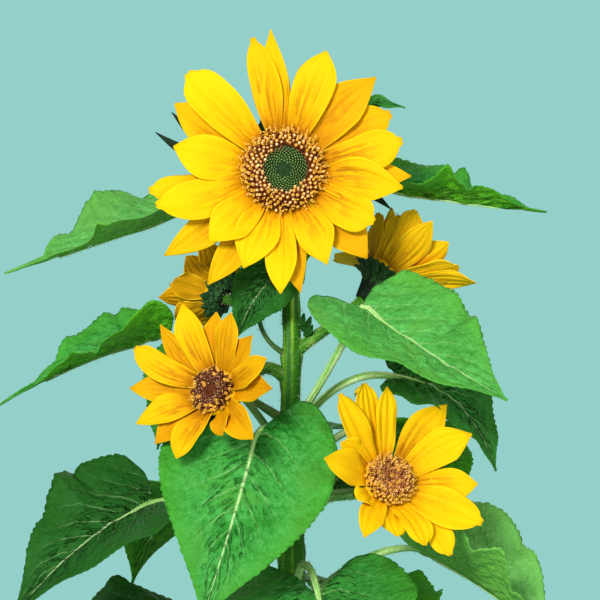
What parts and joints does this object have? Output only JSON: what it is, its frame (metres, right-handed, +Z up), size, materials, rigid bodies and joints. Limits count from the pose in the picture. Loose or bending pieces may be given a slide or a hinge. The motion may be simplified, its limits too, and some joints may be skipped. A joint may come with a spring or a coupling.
{
  "type": "sunflower plant",
  "caption": "Branching dwarf sunflower with a large head that looks forward, smaller side heads on arching branches, and heart-shaped leaves on long stalks.",
  "frame": {"origin": "middle of the flat cut under the stem, at ground level", "axes": "+Z up along the stem, -Y the front, where the large head looks, +X to the right seen from the front"},
  "size_m": [0.3337, 0.2795, 0.5985],
  "materials": {
    "stem": "green ridged stem with short pale bristly hairs",
    "leaves": "matt, rough green leaf, puckered between pale raised veins",
    "petals": "silky yellow rays with fine lengthwise grooves, more orange at their roots",
    "disc": "brown open florets with cream tips round a middle of shut green buds in spirals",
    "cup": "dark green hairy bracts"
  },
  "bodies": {
    "root": {"high_branch": "stem", "high_cup": "cup", "high_disc": "disc", "high_rays": "petals", "leaf_back_left": "leaves", "leaf_back_middle": "leaves", "leaf_back_right": "leaves", "leaf_back_top": "leaves", "leaf_behind_left": "leaves", "leaf_behind_right": "leaves", "leaf_foot_back_left": "leaves", "leaf_foot_back_right": "leaves", "leaf_foot_front": "leaves", "leaf_foot_left": "leaves", "leaf_foot_right": "leaves", "leaf_front_large": "leaves", "leaf_front_low": "leaves", "leaf_left_foot": "leaves", "leaf_left_low": "leaves", "leaf_left_middle": "leaves", "leaf_right_high": "leaves", "leaf_right_low": "leaves", "leaf_right_middle": "leaves", "leaf_top_left": "leaves", "leaf_top_right": "leaves", "leaf_top_small": "leaves", "leaf_under_head": "leaves", "left_branch": "stem", "left_cup": "cup", "left_disc": "disc", "left_rays": "petals", "low_branch": "stem", "low_cup": "cup", "low_disc": "disc", "low_rays": "petals", "main_cup": "cup", "main_disc": "disc", "main_rays": "petals", "main_stem": "stem", "right_branch": "stem", "right_cup": "cup", "right_disc": "disc", "right_rays": "petals"}
  },
  "joints": []
}
